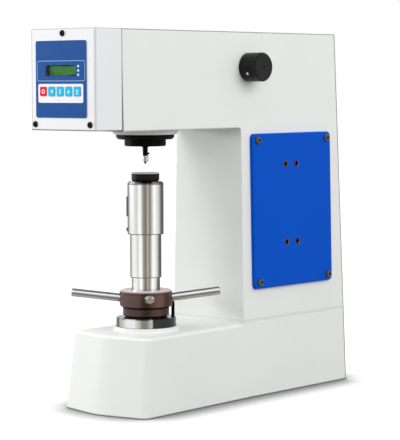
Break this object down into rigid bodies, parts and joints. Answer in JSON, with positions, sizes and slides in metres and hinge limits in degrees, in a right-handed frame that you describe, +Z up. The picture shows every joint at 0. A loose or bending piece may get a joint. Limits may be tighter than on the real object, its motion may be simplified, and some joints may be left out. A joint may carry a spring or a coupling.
{
  "type": "bench hardness tester",
  "caption": "Bench hardness tester with a cast C-frame, capstan-raised anvil under telescopic sleeves, dead-weight load lever, force knob and keypad display.",
  "frame": {"origin": "on the elevating screw's axis, in the plane of the bench", "axes": "+Z up along the screw, -Y towards the operator, +X towards the force knob and the side cover"},
  "size_m": [0.2115, 0.6761, 0.66],
  "materials": {
    "frame_paint": "satin",
    "cover_paint": "satin",
    "blue_paint": "gloss",
    "panel_blue": "satin",
    "black_steel": "satin",
    "ground_steel": "polished",
    "chromed_steel": "polished",
    "hub_bronze": "satin",
    "bronze": "machined",
    "knob_black": "gloss",
    "key_red": "gloss",
    "key_cyan": "gloss",
    "window_clear": "clear",
    "display_green": "matte",
    "board_green": "matte",
    "dark_plastic": "matte",
    "lamp_white": "diffuse",
    "plate_steel": "satin",
    "inner_steel": "machined",
    "weight_iron": "painted",
    "motor_alloy": "cast",
    "diamond": "gloss"
  },
  "bodies": {
    "machine": {"body_casting": "frame_paint", "front_cover": "cover_paint", "front_cover_screws": "black_steel", "cover_posts": "inner_steel", "membrane_panel": "panel_blue", "display_window": "window_clear", "display_module": "display_green", "led_lamps": "lamp_white", "control_board": "board_green", "key_switches": "dark_plastic", "side_cover": "blue_paint", "side_cover_screws": "black_steel", "rear_cover": "plate_steel", "rear_cover_screws": "ground_steel", "power_entry": "dark_plastic", "nose_flange": "black_steel", "nose_collar": "black_steel", "spindle_guide": "bronze", "preload_spring": "inner_steel", "depth_sensor": "motor_alloy", "fulcrum_brackets": "inner_steel", "fulcrum_pin": "ground_steel", "loading_motor": "motor_alloy", "power_supply": "motor_alloy", "selector_bush": "bronze", "rod_guides": "inner_steel", "base_ring": "chromed_steel", "thrust_bearing": "ground_steel", "screw_key": "inner_steel", "stop_post": "black_steel"},
    "capstan": {"handwheel_hub": "hub_bronze", "handwheel_bars": "chromed_steel", "elevating_nut": "bronze", "lower_sleeve": "ground_steel", "bearing_shield": "black_steel"},
    "screw": {"elevating_screw": "ground_steel", "upper_sleeve": "ground_steel", "sleeve_guide_strip": "inner_steel", "anvil": "black_steel"},
    "middle_tube": {"middle_sleeve": "ground_steel"},
    "spindle_set": {"spindle": "black_steel", "sensor_arm": "inner_steel", "indenter": "ground_steel", "indenter_tip": "diamond", "indenter_screw": "black_steel"},
    "lever": {"main_lever": "inner_steel", "lever_bearings": "ground_steel"},
    "hanger": {"weight_hanger": "inner_steel", "load_weights": "weight_iron"},
    "lifter": {"lift_rod": "ground_steel"},
    "selector": {"selector_knob": "knob_black", "selector_shaft": "ground_steel", "selector_cam": "inner_steel"},
    "weight_rest": {"selector_rod": "inner_steel"},
    "rocker": {"power_switch": "dark_plastic"},
    "start_key_cap": {"start_key": "key_red"},
    "menu_key_cap": {"menu_key": "key_cyan"},
    "scale_key_cap": {"scale_key": "key_cyan"},
    "up_key_cap": {"up_key": "key_cyan"},
    "down_key_cap": {"down_key": "key_cyan"}
  },
  "joints": [
    {"name": "capstan_turn", "type": "hinge", "parent": "machine", "child": "capstan", "pos_m": [0, 0, 0.17], "axis": [0, 0, 1], "range_deg": [-780, 4800]},
    {"name": "screw_lift", "type": "slide", "parent": "machine", "child": "screw", "axis": [0, 0, 1], "range_m": [-0.0801, 0.0131]},
    {"name": "middle_sleeve_lift", "type": "slide", "parent": "machine", "child": "middle_tube", "axis": [0, 0, 1], "range_m": [-0.0217, 0.0036]},
    {"name": "lever_swing", "type": "hinge", "parent": "machine", "child": "lever", "pos_m": [0, -0.02, 0.578], "axis": [1, 0, 0], "range_deg": [-2.2, 0], "deforming": ["preload_spring"]},
    {"name": "spindle_stroke", "type": "slide", "parent": "machine", "child": "spindle_set", "axis": [0, 0, 1], "range_m": [-0.0008, 0]},
    {"name": "hanger_drop", "type": "slide", "parent": "machine", "child": "hanger", "axis": [0, 0, 1], "range_m": [-0.0124, 0]},
    {"name": "lift_rod_stroke", "type": "slide", "parent": "machine", "child": "lifter", "axis": [0, 0, 1], "range_m": [-0.0162, 0]},
    {"name": "force_knob_turn", "type": "hinge", "parent": "machine", "child": "selector", "pos_m": [0.07502, 0.1904, 0.5966], "axis": [1, 0, 0], "range_deg": [-0.5, 240.5]},
    {"name": "weight_rest_shift", "type": "slide", "parent": "machine", "child": "weight_rest", "axis": [0, 0, 1], "range_m": [-0.012, 0]},
    {"name": "power_rocker", "type": "hinge", "parent": "machine", "child": "rocker", "pos_m": [0, 0.46432, 0.1621], "axis": [1, 0, 0], "range_deg": [0, 14]},
    {"name": "start_key_press", "type": "slide", "parent": "machine", "child": "start_key_cap", "axis": [0, 1, 0], "range_m": [0, 0.0005], "stiffness_N_per_m": 800},
    {"name": "menu_key_press", "type": "slide", "parent": "machine", "child": "menu_key_cap", "axis": [0, 1, 0], "range_m": [0, 0.0005], "stiffness_N_per_m": 800},
    {"name": "scale_key_press", "type": "slide", "parent": "machine", "child": "scale_key_cap", "axis": [0, 1, 0], "range_m": [0, 0.0005], "stiffness_N_per_m": 800},
    {"name": "up_key_press", "type": "slide", "parent": "machine", "child": "up_key_cap", "axis": [0, 1, 0], "range_m": [0, 0.0005], "stiffness_N_per_m": 800},
    {"name": "down_key_press", "type": "slide", "parent": "machine", "child": "down_key_cap", "axis": [0, 1, 0], "range_m": [0, 0.0005], "stiffness_N_per_m": 800}
  ],
  "couplings": [
    {"joint": "screw_lift", "follows": "capstan_turn", "m_per_rad": -0.00095493},
    {"joint": "middle_sleeve_lift", "follows": "capstan_turn", "m_per_rad": -0.00025783},
    {"joint": "spindle_stroke", "follows": "lever_swing", "m_per_rad": 0.02},
    {"joint": "hanger_drop", "follows": "lever_swing", "m_per_rad": 0.32},
    {"joint": "lift_rod_stroke", "follows": "lever_swing", "m_per_rad": 0.418},
    {"joint": "force_knob_turn", "follows": "weight_rest_shift", "rad_per_m": -349.07}
  ]
}
